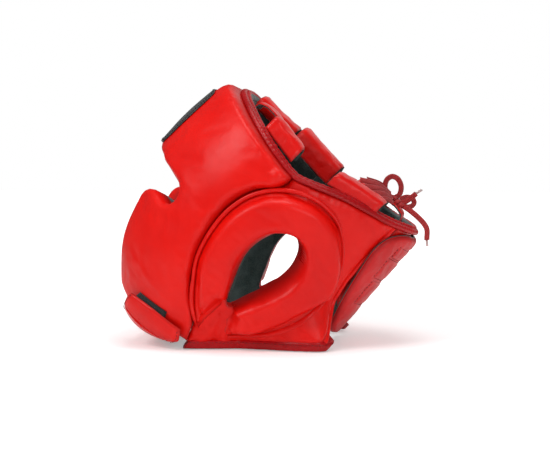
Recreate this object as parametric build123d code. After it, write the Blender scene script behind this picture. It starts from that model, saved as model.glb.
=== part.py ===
from build123d import *

import os
from math import cos, radians, sin, sqrt

# Boxing headgear: padded forehead and cheeks, side panels with raised ear pads, a laced
# crown of leather tabs, a rear flap and a chin strap that both close with hook and loop.
#
# Everything is drawn in the worn frame: +Z up the head, -Y out of the face, +X the wearer's
# left, the origin at brow height in the middle of the head. At the end each solid is tipped
# back into the row frame, where the headgear rests on its two neck hems on the plane Z = 0.
# Lengths are millimetres and angles are degrees.

# ---- driving dimensions ------------------------------------------------------------------
REST_TILT = 43.0  # how far the empty headgear tips back when it is put down
FLOOR_DROP = 107.0  # worn origin above the floor, measured square to the floor
CENTRE_BACK = 26.5  # worn origin in front of the row origin

LINING = 1.4
SKIN = 1.5  # leather over a foam core
GAP = 0.3  # air left between neighbouring pieces
PANEL = 13.5  # side panel, from head form to leather
EAR_PAD = 17.0  # ear pad above the side panel
RIM_IN, RIM_OUT, RIM_HEIGHT = 7.0, 16.5, 6.8  # crown rim binding
HEM_HEIGHT = 9.0
PATCH = 0.9  # forehead patch and hook-and-loop patches
BRIDGE_OUT = 12.0  # rear bridge below the crown rim
FLAP_IN, FLAP_OUT = 15.4, 22.2  # rear flap, from the head form
REAR_EDGE = 102.0  # where the side panels end at the back
STRAP_THICK = 3.5
TAB_THICK = 2.6
LACE = (6.5, 1.6)  # width, thickness

REACH = 190.0  # how far cutting prisms run past the headgear
HALF_ANGLES = [0, 20, 40, 60, 80, 100, 115, 125, 135, 145, 155, 167]
SECTION_ANGLES = HALF_ANGLES + [180] + [360 - a for a in reversed(HALF_ANGLES[1:])]

# Head form: half width, face-side depth and nape-side depth against height.
HEAD_FORM = [
    (150, 50, 76, 102),
    (112, 66, 88, 105),
    (80, 75, 92, 105.5),
    (30, 80, 95, 107.5),
    (0, 81, 95, 109),
    (-40, 80, 88, 109),
    (-80, 76, 72, 109),
    (-115, 71, 50, 109),
    (-155, 58, 24, 109),
]
# Outside of the face pads against height.
FACE_FORM = [
    (150, 64, 86, 125),
    (112, 90, 110, 125),
    (80, 100, 126, 125),
    (30, 106, 131, 125),
    (0, 107, 131, 125),
    (-40, 106, 119, 125),
    (-80, 98, 104, 125),
    (-115, 84, 76, 125),
    (-155, 64, 36, 125),
]
# Below the ears the panels flare out towards the rear corner of the neck hem.
FLARE_TOP, FLARE_DEPTH = 20.0, 42.0
FLARE_START, FLARE_RISE = 124.0, 22.0
FLARE_END, FLARE_FALL = 178.0, 22.0
FLARE_OUT, FLARE_BACK = 24.0, 32.0

# Outlines in side view, (Y, Z).
RIM = [(-REACH, 102), (-112, 100.5), (-86, 96.5), (-59, 90.5), (-24, 83.5), (0, 80.5),
       (20, 86.5), (47, 96.5), (69, 102), (92, 106.5), (112, 112), (REACH, 130)]
FACE_REAR = [(32, -105), (24, -86), (8, -70), (-4, -55), (-15, -34), (-21, -8), (-21, 20),
             (-13, 46), (2, 64), (3, 79)]
EYE = [(-112, -1), (-88, 0), (-75, -10), (-69, -26), (-75, -39), (-86, -42), (-97, -34)]
EAR_RING = [(31, -86), (14, -71), (1, -54), (-11, -34), (-17, -8), (-17, 20), (-8, 46),
            (12, 67), (40, 77), (68, 71), (90, 47), (100, 12), (97, -20), (82, -50), (56, -76)]
EAR_HOLE = [(38, -51), (27, -29), (19, -6), (19, 14), (26, 32), (40, 41), (54, 34),
            (61, 15), (58, -8), (49, -31)]
EAR_SPLIT = [(37.5, -49), (31, -92), (57, -86)]
PANEL_REAR = [(REAR_EDGE, 99), (REAR_EDGE, 70), (103.5, 40), (109, 14), (125, -6)]
REAR_CORNER = [(35, 56), (43, 38), (48, 20), (54, 2), (60, -10), (66, -22), (44, -56)]  # (X, Z)
HEM_CHIN_Y, HEM_REAR_Y = 34.0, 135.5
CHEEK_FOOT = -124.0
CHEEK_BACK_Y = -22.0
FACE_OPENING = [(46, -30), (44, -70), (38, -REACH)]  # (X, Z) of the left half
FOREHEAD_PATCH = [(26, 8), (38, 16), (40, 72), (30, 84)]
FLAP_EDGE = [(0, 107), (28, 104.5), (46, 95), (50, 80), (49, 58), (44, 30), (36, 5),
             (25, -11), (0, -15)]
TONGUE = (34, 82)  # heights of the rear tongues

# The rear flap turns about its top edge, the line (0, 130, 108.6) along X. The chin strap turns
# about (-86, -10, -127.5) along (0, 1, 0.10), and its free end about the mirror of that line.

# Outer face of the chin strap's left half: front edge, middle and rear edge at each station.
STRAP = [
    ((0, -38, -135), (0, -11, -142.5), (0, 19, -123.5)),
    ((38, -38, -134), (38, -11, -141.5), (40, 19, -123)),
    ((64, -38, -130), (66, -11, -136.5), (70, 19, -121)),
    ((79, -39, -124), (83, -10, -129), (88, 18, -116.5)),
]
STRAP_END = [
    ((83.0, -39, -119.6), (87.4, -10, -122.6), (92.0, 18, -111.4)),
    ((85.5, -39, -114), (91.4, -10, -114), (96.0, 18, -105)),
    ((87.0, -39, -108), (95.0, -10, -103), (99.0, 17, -97)),
]

# Crown tabs: the middle line from root to tip, and half the width across it.
TABS = {
    "left_front_tab": (
        [(66, -43, 98), (64, -42, 104), (56, -41, 109.5), (46, -39, 111), (34, -37, 109.5)], (-3, 20, -4)),
    "left_rear_tab": (
        [(65, 57.5, 108.8), (63, 56, 113.8), (54, 57, 119), (40, 58, 121.5), (25, 60, 121)], (-2, 20, 6)),
    "right_front_tab": (
        [(-62, -54, 100), (-61, -53, 106), (-52, -55, 112), (-36, -58, 116), (-18, -60, 115)], (3, 21, -4)),
    "right_middle_tab": (
        [(-70, -4, 92), (-67, -5, 102), (-56, -6, 110), (-36, -6, 115), (-14, -6, 116)], (0, 22, 0)),
    "right_rear_tab": (
        [(-65, 59.5, 108.8), (-63, 58, 113.8), (-54, 59, 118.5), (-38, 60, 120.5), (-24, 61, 120)], (2, 19, 6)),
    "front_tab": (
        [(8, -84, 99), (8, -83, 107), (8, -76, 112), (8, -62, 113), (8, -48, 112)], (15, 0, 0)),
    "rear_tab": (
        [(0, 100, 113), (0, 101, 121), (0, 96, 126), (0, 84, 128), (0, 70, 127)], (17, 0, 0)),
}
# Flat lace: middle line and half the width of every pass, then the bow.
LACE_PASSES = [
    ([(34, 47, 125.5), (24, 58, 127.5), (12, 70, 133.2), (4, 78, 135.6)], (2.2, 2.4, 0)),
    ([(30, 56, 126.5), (22, 64, 129), (14, 72, 133.6), (8, 80, 135.8)], (2.2, 2.4, 0)),
    ([(-32, 50, 124.5), (-24, 59, 127.5), (-13, 70, 133.2), (-5, 78, 135.6)], (-2.2, 2.4, 0)),
    ([(-30, 58, 125.5), (-23, 65, 128.5), (-15, 73, 133.6), (-9, 80, 135.8)], (-2.2, 2.4, 0)),
]
BOW = [
    ([(2, 84, 136), (3, 76, 141), (4, 68, 148), (4, 62, 144), (4, 63, 137)], (3, 0, 0)),
    ([(-2, 86, 136), (-8, 91, 141), (-12, 97, 141), (-10, 98, 136.5)], (2.5, 2, 0)),
    ([(1, 90, 135), (3, 95, 139), (4, 98, 146)], (3, 0, 0)),
    ([(-3, 88, 135), (-2, 104, 137), (0, 118, 135), (2, 129, 128), (3, 134, 118)], (3, 0, 0)),
]


# ---- helpers -----------------------------------------------------------------------------
def smooth(t):
    """0 below 0, 1 above 1, and a soft step between."""
    t = min(1.0, max(0.0, t))
    return t * t * (3 - 2 * t)


def flare(turn, z):
    """How much of the flare acts at one plan angle from the face and one height."""
    around = smooth((turn - FLARE_START) / FLARE_RISE) * smooth((FLARE_END - turn) / FLARE_FALL)
    return around * smooth((FLARE_TOP - z) / FLARE_DEPTH)


def plain_section(row, thick):
    """A closed section of two half ellipses, face side and nape side."""
    z, half, front, rear = row
    plane = Plane(origin=(0, 0, z), x_dir=(1, 0, 0), z_dir=(0, 0, 1))
    face_side = Edge.make_ellipse(half + thick, front + thick, plane, 180, 360)
    nape_side = Edge.make_ellipse(half + thick, rear + thick, plane, 0, 180)
    return Wire([face_side, nape_side])


def flared_section(row, thick):
    """The same section with the flare behind the ears."""
    z, half, front, rear = row
    points = []
    for angle in SECTION_ANGLES:
        depth = front if cos(radians(angle)) > 0 else rear
        push = flare(min(angle, 360 - angle), z)
        x = (half + thick) * sin(radians(angle)) + push * FLARE_OUT * (1 if angle < 180 else -1)
        y = -(depth + thick) * cos(radians(angle)) + push * FLARE_BACK
        points.append(Vector(x, y, z))
    stops = [angle / 360 for angle in SECTION_ANGLES] + [1.0]
    return Wire([Edge.make_spline(points, periodic=True, parameters=stops)])


TUBES = {}


def tube(low, high, rows=None, inner=None, flared=False):
    """The wall between two grown forms: low is its inner offset, high its outer offset."""
    rows = rows or HEAD_FORM
    inner = inner or HEAD_FORM
    key = (low, high, rows[4][1], inner[4][1], flared)
    if key not in TUBES:
        section = flared_section if flared else plain_section
        outside = [section(row, high) for row in sorted(rows)]
        inside = [section(row, low) for row in sorted(inner)]
        faces = []
        for sections in (outside, inside):
            loft = Solid.make_loft(sections)
            faces += [f for f in loft.faces() if f.geom_type != GeomType.PLANE]
        for end in (0, -1):
            faces.append(Face(outside[end], [inside[end]]))
        TUBES[key] = Solid(Shell(faces))
    return TUBES[key]


def poly(*points):
    """Straight edges through (Y, Z) points."""
    ends = [Vector(0, y, z) for y, z in points]
    return [Edge.make_line(a, b) for a, b in zip(ends, ends[1:])]


def curve(*points):
    """One smooth edge through (Y, Z) points."""
    return [Edge.make_spline([Vector(0, y, z) for y, z in points])]


def ring(points):
    """One closed smooth edge through (Y, Z) points."""
    return [Edge.make_spline([Vector(0, y, z) for y, z in points], periodic=True)]


def side_prism(edges, low=-REACH, high=REACH, holes=()):
    """A prism across the head, from an outline in (Y, Z) with any holes in it."""
    face = Face(Wire(edges), [Wire(hole) for hole in holes])
    return Solid.extrude(face, Vector(high - low, 0, 0)).moved(Location((low, 0, 0)))


def plan_prism(points, front, back):
    """A prism from front to back, from a polygon in (X, Z)."""
    wire = Wire.make_polygon([Vector(x, front, z) for x, z in points], close=True)
    return Solid.extrude(Face(wire), Vector(0, back - front, 0))


def both_sides(half):
    """A symmetric polygon in (X, Z) from its left half, listed top to bottom or the reverse."""
    return half + [(-x, z) for x, z in reversed(half) if x > 0]


def slab(low, high):
    """An axis-aligned block between two corners."""
    size = [b - a for a, b in zip(low, high)]
    return Solid.make_box(*size).moved(Location(tuple(low)))


def grown(points, out):
    """A ring of points moved away from its middle by a fixed distance."""
    mid_y = sum(y for y, _ in points) / len(points)
    mid_z = sum(z for _, z in points) / len(points)
    moved = []
    for y, z in points:
        length = sqrt((y - mid_y) ** 2 + (z - mid_z) ** 2)
        moved.append((y + out * (y - mid_y) / length, z + out * (z - mid_z) / length))
    return moved


def hem_z(y, lift=0.0):
    """Height of the neck hem in side view: level with the floor once the headgear rests."""
    return (y * sin(radians(REST_TILT)) - FLOOR_DROP + lift) / cos(radians(REST_TILT))


def ribbon(stations, thick):
    """A strip through stations of two or more points each, thickened to its inner side."""
    wires = []
    middles = [Vector(*row[len(row) // 2]) for row in stations]
    for i, row in enumerate(stations):
        along = (middles[min(i + 1, len(middles) - 1)] - middles[max(i - 1, 0)]).normalized()
        flat = [Vector(*p) for p in row]
        flat = [p - along * (p - middles[i]).dot(along) for p in flat]
        inward = along.cross(flat[-1] - flat[0]).normalized()
        back = [p + inward * thick for p in reversed(flat)]
        wires.append(Wire.make_polygon(flat + back, close=True))
    return Solid.make_loft(wires)


def strip(middle, half_width, thick):
    """A ribbon from its middle line."""
    w = Vector(*half_width)
    stations = [(tuple(Vector(*p) - w), tuple(Vector(*p) + w)) for p in middle]
    return ribbon(stations, thick)


def mirror_x(shape):
    """The wearer's-right twin of a wearer's-left shape."""
    return shape.mirror(Plane.YZ)


def mirror_stations(stations):
    """Strap stations of the right half, running the same way round as the left."""
    return [tuple((-x, y, z) for x, y, z in row) for row in reversed(stations)]


# ---- outlines ----------------------------------------------------------------------------
def face_outline(inset=0.0):
    """Forehead, temple and cheek in side view, open towards the front."""
    rear = [(y - inset, z) for y, z in FACE_REAR]
    rim = [(y, z - inset) for y, z in reversed(RIM) if y < -20]
    eye = grown(EYE, inset)
    foot = CHEEK_FOOT + inset
    edges = poly((-REACH, eye[0][1]), eye[0])
    edges += curve(*eye)
    edges += poly(eye[-1], (-REACH, eye[-1][1]), (-REACH, foot), (CHEEK_BACK_Y, foot), rear[0])
    edges += curve(*rear)
    edges += curve(rear[-1], *rim)
    edges += poly(rim[-1], (-REACH, eye[0][1]))
    return edges


def panel_outline(inset=0.0):
    """Side panel between the face pad, the rim, the rear edge and the neck hem."""
    front = [(y + 0.4 + inset, z) for y, z in FACE_REAR]
    rim = [(front[-1][0], 80.6 - inset)] + [(y, z - inset) for y, z in RIM if 10 < y < 95]
    rim.append((REAR_EDGE - inset, 109 - inset))
    rear = [rim[-1]] + [(y - inset, z) for y, z in PANEL_REAR]
    lift = HEM_HEIGHT + 0.4 + inset
    foot_rear = (HEM_REAR_Y - 8 - inset, hem_z(HEM_REAR_Y - 8 - inset, lift))
    foot_front = (front[0][0], hem_z(front[0][0], lift))
    edges = curve(*front)
    edges += poly(front[-1], rim[0])
    edges += curve(*rim)
    edges += poly(rear[0], rear[1])
    edges += curve(*rear[1:])
    edges += poly(rear[-1], foot_rear, foot_front, front[0])
    return edges


def rear_corner(inset=0.0):
    """The space between the two rear corners, which the side panels leave open."""
    half = [(0, 58 + inset)] + [(x + inset, z) for x, z in REAR_CORNER] + [(0, -56)]
    return plan_prism(both_sides(half), 60, REACH)


# ---- pieces ------------------------------------------------------------------------------
def layers(name, cut, low, high, rows=None, flared=False):
    """A leather cover and the foam under it, both cut to one outline."""
    split = high - SKIN
    inner = rows or HEAD_FORM
    return {
        name + "_cover": tube(split, high, rows, inner, flared) & cut,
        name + "_foam": tube(low, split - GAP, rows, None, flared) & cut,
    }


def face_pads(out):
    """Forehead, temples and cheeks under one leather cover, on one lining."""
    opening = plan_prism(both_sides(FACE_OPENING), -REACH, 0)
    outline = side_prism(face_outline())
    cover = tube(-SKIN, 0, FACE_FORM, FACE_FORM) & outline
    out["face_cover"] = cover - opening
    core = tube(LINING + GAP, -SKIN - GAP, FACE_FORM) & side_prism(face_outline(SKIN))
    out["forehead_foam"] = core & slab((-REACH, -REACH, -14), (REACH, REACH, REACH))
    cheeks = core & slab((0, -REACH, -REACH), (REACH, REACH, -14.3))
    out["left_cheek_foam"] = cheeks - opening
    out["face_lining"] = (tube(0, LINING) & outline) - opening
    patch = tube(GAP, GAP + PATCH, FACE_FORM, FACE_FORM)
    out["forehead_patch"] = patch & plan_prism(both_sides(FOREHEAD_PATCH), -REACH, 0)


def side_panel(out):
    """Side panel with its lining, the ear opening and the opening's bound edge."""
    bound = ring(grown(EAR_HOLE, 1.8))
    cut = side_prism(panel_outline(), 0, holes=[bound]) - rear_corner()
    out.update(layers("left_side", cut, LINING + GAP, PANEL, flared=True))
    out["left_side_lining"] = tube(0, LINING, flared=True) & cut
    sleeve = side_prism(ring(grown(EAR_HOLE, 1.5)), 0, holes=[ring(EAR_HOLE)])
    out["left_ear_hole_binding"] = tube(0, PANEL + EAR_PAD - 7, flared=True) & sleeve


def ear_pad(out):
    """Raised pad round the ear, split at its lower front."""
    cut = side_prism(ring(EAR_RING), 0, holes=[ring(grown(EAR_HOLE, 1.8))])
    cut = cut - side_prism(poly(*EAR_SPLIT, EAR_SPLIT[0]), 0)
    out.update(layers("left_ear_pad", cut, PANEL + GAP, PANEL + EAR_PAD, flared=True))


def bindings(out):
    """Crown rim, neck hem and rear edge bindings of the left half."""
    low = [(y, z + GAP) for y, z in RIM]
    high = [(y, z + RIM_HEIGHT) for y, z in reversed(RIM)]
    edges = curve(*low) + poly(low[-1], high[0]) + curve(*high) + poly(high[-1], low[0])
    out["left_rim_binding"] = tube(RIM_IN, RIM_OUT) & side_prism(edges, 0.1)
    corners = [(HEM_CHIN_Y, hem_z(HEM_CHIN_Y)), (HEM_REAR_Y, hem_z(HEM_REAR_Y))]
    corners += [(HEM_REAR_Y - 8, hem_z(HEM_REAR_Y - 8, HEM_HEIGHT))]
    corners += [(HEM_CHIN_Y - 1, hem_z(HEM_CHIN_Y - 1, HEM_HEIGHT))]
    cut = side_prism(poly(*corners, corners[0]), 0) - rear_corner()
    out["left_hem_binding"] = tube(-0.6, PANEL + 1, flared=True) & cut
    near = [(y + GAP, z) for y, z in PANEL_REAR]
    far = [(y + 3.2, z) for y, z in reversed(PANEL_REAR)]
    edges = curve(*near) + poly(near[-1], far[0]) + curve(*far) + poly(far[-1], near[0])
    cut = side_prism(edges, 0) - rear_corner()
    out["left_rear_binding"] = tube(1.0, PANEL - 0.8, flared=True) & cut


def rear_bridge(out):
    """Leather bridge under the rear rim, and the tongues that the rear flap closes onto."""
    start = REAR_EDGE + 3.6
    top = [(y, z - GAP) for y, z in RIM if y > 60]
    edges = poly((60, 88), (REACH, 88), top[-1])
    edges += curve(*reversed(top))
    edges += poly(top[0], (60, 88))
    cut = side_prism(edges, -60, 60) & slab((-60, start, 80), (60, REACH, REACH))
    out["rear_bridge"] = tube(LINING + GAP, BRIDGE_OUT) & cut
    out["rear_bridge_lining"] = tube(0, LINING) & cut
    low, high = TONGUE
    behind = REAR_EDGE + 6.4
    out["left_rear_tongue"] = tube(8.6, 11.0) & slab((17, behind, low), (60, REACH, high))
    cut = slab((19, behind, low + 4), (33, REACH, high - 4))
    out["left_rear_loop_patch"] = tube(11.0 + GAP, 11.0 + GAP + PATCH) & cut


def rear_flap(out):
    """Rear flap with its foam, its lining and two hook patches."""
    cut = plan_prism(both_sides(FLAP_EDGE), 0, REACH)
    out.update(layers("rear_flap", cut, FLAP_IN + LINING + GAP, FLAP_OUT))
    out["rear_flap_lining"] = tube(FLAP_IN, FLAP_IN + LINING) & cut
    low, high = TONGUE
    cut = slab((19, 60, low + 4), (33, REACH, high - 4))
    out["left_hook_patch"] = tube(FLAP_IN - GAP - PATCH, FLAP_IN - GAP) & cut


def chin_strap(out):
    """Strap under the chin, its sewn root on the right cheek and its free end on the left."""
    whole = mirror_stations(STRAP)[:-1] + STRAP
    out["chin_strap"] = ribbon(whole, STRAP_THICK)
    out["chin_strap_end"] = ribbon(STRAP_END, STRAP_THICK)
    out["chin_strap_root"] = mirror_x(out["chin_strap_end"])
    cut = side_prism(poly((-37, -122), (-37, -99), (-4, -94), (10, -110), (4, -119), (-37, -122)), 0)
    out["chin_loop_patch"] = tube(GAP, GAP + PATCH, FACE_FORM, FACE_FORM) & cut


def crown(out):
    """Leather tabs round the crown, the lace between them and its bow."""
    for name, (middle, half_width) in TABS.items():
        out[name] = strip(middle, half_width, TAB_THICK)
    out["crown_lace"] = Compound([strip(m, w, LACE[1]) for m, w in LACE_PASSES])
    out["lace_bow"] = Compound([strip(m, w, LACE[1]) for m, w in BOW])


def rest(shape):
    """Tip a shape from the worn frame into the row frame."""
    tipped = shape.rotate(Axis.X, -REST_TILT)
    return tipped.moved(Location((0, -CENTRE_BACK, FLOOR_DROP)))


def main():
    os.makedirs("parts", exist_ok=True)
    pieces = {}
    for step in (face_pads, side_panel, ear_pad, bindings, rear_bridge, rear_flap, chin_strap, crown):
        step(pieces)
    twins = [name for name in pieces if name.startswith("left_") and not name.endswith("_tab")]
    for name in twins:
        pieces["right_" + name[5:]] = mirror_x(pieces[name])
    for name, shape in pieces.items():
        export_step(rest(shape), f"parts/{name}.step")


if __name__ == "__main__":
    main()
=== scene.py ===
from math import asin, cos, degrees, pi, radians, sin, sqrt

import bpy
import numpy as np
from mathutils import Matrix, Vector, noise
from mathutils.geometry import delaunay_2d_cdt


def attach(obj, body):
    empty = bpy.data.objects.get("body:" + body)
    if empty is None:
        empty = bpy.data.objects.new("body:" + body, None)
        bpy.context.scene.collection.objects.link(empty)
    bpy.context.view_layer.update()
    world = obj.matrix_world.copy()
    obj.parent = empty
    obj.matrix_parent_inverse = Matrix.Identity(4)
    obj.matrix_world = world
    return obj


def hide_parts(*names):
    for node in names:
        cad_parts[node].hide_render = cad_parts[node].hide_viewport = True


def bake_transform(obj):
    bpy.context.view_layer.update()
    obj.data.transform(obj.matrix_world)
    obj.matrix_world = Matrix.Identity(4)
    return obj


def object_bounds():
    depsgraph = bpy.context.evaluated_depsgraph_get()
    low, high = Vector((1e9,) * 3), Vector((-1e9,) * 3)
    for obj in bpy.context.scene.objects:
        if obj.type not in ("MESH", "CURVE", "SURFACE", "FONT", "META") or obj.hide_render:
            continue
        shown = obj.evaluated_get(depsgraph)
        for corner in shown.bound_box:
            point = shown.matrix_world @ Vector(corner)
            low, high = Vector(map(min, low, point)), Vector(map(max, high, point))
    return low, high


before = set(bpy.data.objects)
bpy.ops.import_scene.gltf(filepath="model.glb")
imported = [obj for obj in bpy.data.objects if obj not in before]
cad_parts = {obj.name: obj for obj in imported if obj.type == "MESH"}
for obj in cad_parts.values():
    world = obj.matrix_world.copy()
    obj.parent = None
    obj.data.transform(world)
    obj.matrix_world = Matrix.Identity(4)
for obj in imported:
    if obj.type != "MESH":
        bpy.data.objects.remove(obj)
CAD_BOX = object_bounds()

# Looks of the boxing headgear. Pieces are drawn in the worn frame in millimetres: +Z up the head,
# -Y out of the face, +X the wearer's left. to_row() tips them back into the row frame in metres.
# A point of the head is given by its turn (degrees from the face), its height and its offset from
# the head form.

MM = 0.001
REST_TILT = radians(43.0)
FLOOR_DROP = 107.0
CENTRE_BACK = 26.5

LINING = 1.4
PANEL = 13.5
EAR_TOP = 30.5
HEM_HEIGHT = 9.0
FLAP_IN, FLAP_OUT = 15.4, 22.2

# Head form and face pads: height, half width, face-side depth, nape-side depth.
HEAD_ROWS = [(150, 50, 76, 102), (112, 66, 88, 105), (80, 75, 92, 105.5), (30, 80, 95, 107.5),
             (0, 81, 95, 109), (-40, 80, 88, 109), (-80, 76, 72, 109), (-115, 71, 50, 109),
             (-155, 58, 24, 109)]
FACE_ROWS = [(150, 64, 86, 125), (112, 90, 110, 125), (80, 100, 126, 125), (30, 106, 131, 125),
             (0, 107, 131, 125), (-40, 106, 119, 125), (-80, 98, 104, 125), (-115, 84, 76, 125),
             (-155, 64, 36, 125)]

# Outlines in side view, (Y, Z).
RIM = [(-190, 102), (-112, 100.5), (-86, 96.5), (-59, 90.5), (-24, 83.5), (0, 80.5), (20, 86.5),
       (47, 96.5), (69, 102), (92, 106.5), (112, 112), (190, 130)]
FACE_REAR = [(32, -105), (24, -86), (8, -70), (-4, -55), (-15, -34), (-21.5, -8), (-23, 20),
             (-16, 47), (-1.5, 66.5), (1, 80)]
BROW_Z = -1.0
NOTCH_TURN, NOTCH_Z, NOTCH_RADIUS = 50.0, -11.0, 9.0   # round rear end of the eye notch
CHEEK_TURN, CHEEK_Z, CHEEK_RADIUS = 42.0, -46.0, 26.0  # round top of the cheek pad in front of it
EAR_RING = [(31, -86), (14, -71), (1, -54), (-11, -34), (-17.5, -8), (-18.5, 20), (-10.5, 47),
            (9, 69.5), (37, 80), (66, 73), (89, 48), (99, 13), (95, -20), (80, -49), (54, -76)]
EAR_HOLE = [(38, -51), (27, -29), (19, -6), (19, 14), (26, 32), (40, 41), (54, 34),
            (61, 15), (58, -8), (49, -31)]
PANEL_REAR = [(102, 107), (102, 70), (103.5, 40), (109, 14), (125, -6)]
CHEEK_FOOT, CHEEK_BACK = -124.0, -22.0
FLAP_EDGE = [(0, 110.8), (26, 109), (43, 99), (50, 82), (49, 58), (44, 30), (36, 5), (25, -11),
             (0, -15)]

FLAT = 1.75  # millimetres per degree of turn on the unrolled head


# ---- numbers -----------------------------------------------------------------------------
def smooth(t):
    """0 below 0, 1 above 1 and a soft step between."""
    t = np.clip(t, 0.0, 1.0)
    return t * t * (3 - 2 * t)


def table(xs, ys):
    """A smooth curve through points that never overshoots them."""
    order = np.argsort(xs)
    x, y = np.array(xs, float)[order], np.array(ys, float)[order]
    h, slope = np.diff(x), np.diff(y) / np.diff(x)
    m = np.zeros_like(y)
    both = slope[:-1] * slope[1:]
    m[1:-1] = np.where(both > 0, 2 * both / (slope[:-1] + slope[1:] + 1e-12), 0)
    m[0], m[-1] = slope[0], slope[-1]

    def value(at):
        at = np.clip(np.asarray(at, float), x[0], x[-1])
        i = np.clip(np.searchsorted(x, at) - 1, 0, len(h) - 1)
        t = (at - x[i]) / h[i]
        ends = (2 * t**3 - 3 * t**2 + 1) * y[i] + (3 * t**2 - 2 * t**3) * y[i + 1]
        return ends + h[i] * ((t**3 - 2 * t**2 + t) * m[i] + (t**3 - t**2) * m[i + 1])

    return value


def respaced(points, step):
    """The same polyline with even spacing."""
    p = np.asarray(points, float)
    run = np.concatenate(([0], np.cumsum(np.linalg.norm(np.diff(p, axis=0), axis=1))))
    count = max(2, int(round(run[-1] / step)) + 1)
    at = np.linspace(0, run[-1], count)
    return np.column_stack([np.interp(at, run, p[:, k]) for k in range(p.shape[1])])


def curve(points, step=2.4):
    """A smooth open line through points, evenly spaced."""
    p = np.asarray(points, float)
    if len(p) == 2:
        return respaced(p, step)
    p = np.vstack((2 * p[0] - p[1], p, 2 * p[-1] - p[-2]))
    out = []
    for a, b, c, d in zip(p, p[1:], p[2:], p[3:]):
        t = np.linspace(0, 1, 24, endpoint=False)[:, None]
        out.append(0.5 * (2 * b + (c - a) * t + (2 * a - 5 * b + 4 * c - d) * t**2
                          + (3 * b - a - 3 * c + d) * t**3))
    return respaced(np.vstack(out + [p[-2:-1]]), step)


def wave(values, seed, size):
    """Smooth noise along a list of places, about -1 to 1."""
    return np.array([noise.noise(Vector((v / size, seed * 7.31, 1.7))) for v in np.ravel(values)])


def clouds(points, seed, size):
    """Smooth noise through space, about -1 to 1."""
    shift = Vector((seed * 13.7, seed * 5.1, seed * 3.3))
    return np.array([noise.noise(Vector(p) / size + shift) for p in points])


# ---- forms -------------------------------------------------------------------------------
class Form:
    """A closed head-like surface that grows by an offset."""

    def __init__(self, rows, flared=False):
        z = [r[0] for r in rows]
        self.half, self.front, self.rear = (table(z, [r[k] for r in rows]) for k in (1, 2, 3))
        self.flared = flared

    def point(self, turn, z, off):
        turn, z, off = np.broadcast_arrays(np.asarray(turn, float), z, off)
        a = np.radians(turn)
        depth = np.where(np.cos(a) > 0, self.front(z), self.rear(z)) + off
        x, y = (self.half(z) + off) * np.sin(a), -depth * np.cos(a)
        if self.flared:
            around = np.abs(turn)
            push = smooth((around - 124) / 22) * smooth((178 - around) / 22)
            push = push * smooth((20 - z) / 42)
            x, y = x + 24 * push * np.sign(np.sin(a)), y + 32 * push
        return np.stack((x, y, np.asarray(z, float)), -1)


HEAD, FLARED, FACE = Form(HEAD_ROWS), Form(HEAD_ROWS, True), Form(FACE_ROWS)


def turn_at(y, z, off, form=FLARED, low=0.0, high=156.0):
    """Turn on the left side where a grown form reaches Y at a height."""
    y, z = np.asarray(y, float), np.asarray(z, float)
    lo, hi = np.full(y.shape, low), np.full(y.shape, high)
    for _ in range(30):
        mid = (lo + hi) / 2
        under = form.point(mid, z, off)[..., 1] < y
        lo, hi = np.where(under, mid, lo), np.where(under, hi, mid)
    return (lo + hi) / 2


def unrolled(points, off, form=FLARED):
    """(Y, Z) points as (turn, Z) points."""
    p = np.asarray(points, float)
    return np.column_stack((turn_at(p[:, 0], p[:, 1], off, form), p[:, 1]))


rim_height = table([y for y, _ in RIM], [z for _, z in RIM])


def rim_z(turn, off=12.0):
    """Height of the crown rim at a turn."""
    z = np.full(np.shape(turn), 98.0)
    for _ in range(12):
        z = rim_height(HEAD.point(turn, z, off)[..., 1])
    return z


def rim_run(start, end, count=60):
    """The rim as (turn, Z) points between two turns."""
    turn = np.linspace(start, end, count)
    return respaced(np.column_stack((turn, rim_z(turn))), 1.6)


def hem_z(y, lift=0.0):
    """Height of the neck hem, level with the floor at rest."""
    return (y * sin(REST_TILT) - FLOOR_DROP + lift) / cos(REST_TILT)


def to_row(points):
    """Worn millimetres to row metres."""
    p = np.asarray(points, float)
    c, s = cos(REST_TILT), sin(REST_TILT)
    y = c * p[:, 1] + s * p[:, 2] - CENTRE_BACK
    z = -s * p[:, 1] + c * p[:, 2] + FLOOR_DROP
    return np.column_stack((p[:, 0], y, z)) * MM


# ---- regions of the unrolled head ---------------------------------------------------------
def inside(points, loops):
    """Which points lie inside the first loop and outside the others."""
    x, y = points[:, 0][:, None], points[:, 1][:, None]
    count = np.zeros(len(points), int)
    for loop in loops:
        a, b = loop, np.roll(loop, -1, 0)
        cross = (a[:, 1] > y) != (b[:, 1] > y)
        with np.errstate(divide="ignore", invalid="ignore"):
            at = a[:, 0] + (y - a[:, 1]) * (b[:, 0] - a[:, 0]) / (b[:, 1] - a[:, 1])
        count += (cross & (x < at)).sum(1)
    return count % 2 == 1


def nearest(points, a, b):
    """Distance to the closest segment, its index and how far along it."""
    d, index, share = [], [], []
    for chunk in np.array_split(points, max(1, len(points) // 1500)):
        ab = b - a
        t = ((chunk[:, None] - a) * ab).sum(2) / ((ab * ab).sum(1) + 1e-12)
        t = np.clip(t, 0, 1)
        gap = np.linalg.norm(chunk[:, None] - (a + t[..., None] * ab), axis=2)
        i = gap.argmin(1)
        rows = np.arange(len(chunk))
        d.append(gap[rows, i])
        index.append(i)
        share.append(t[rows, i])
    return np.concatenate(d), np.concatenate(index), np.concatenate(share)


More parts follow.
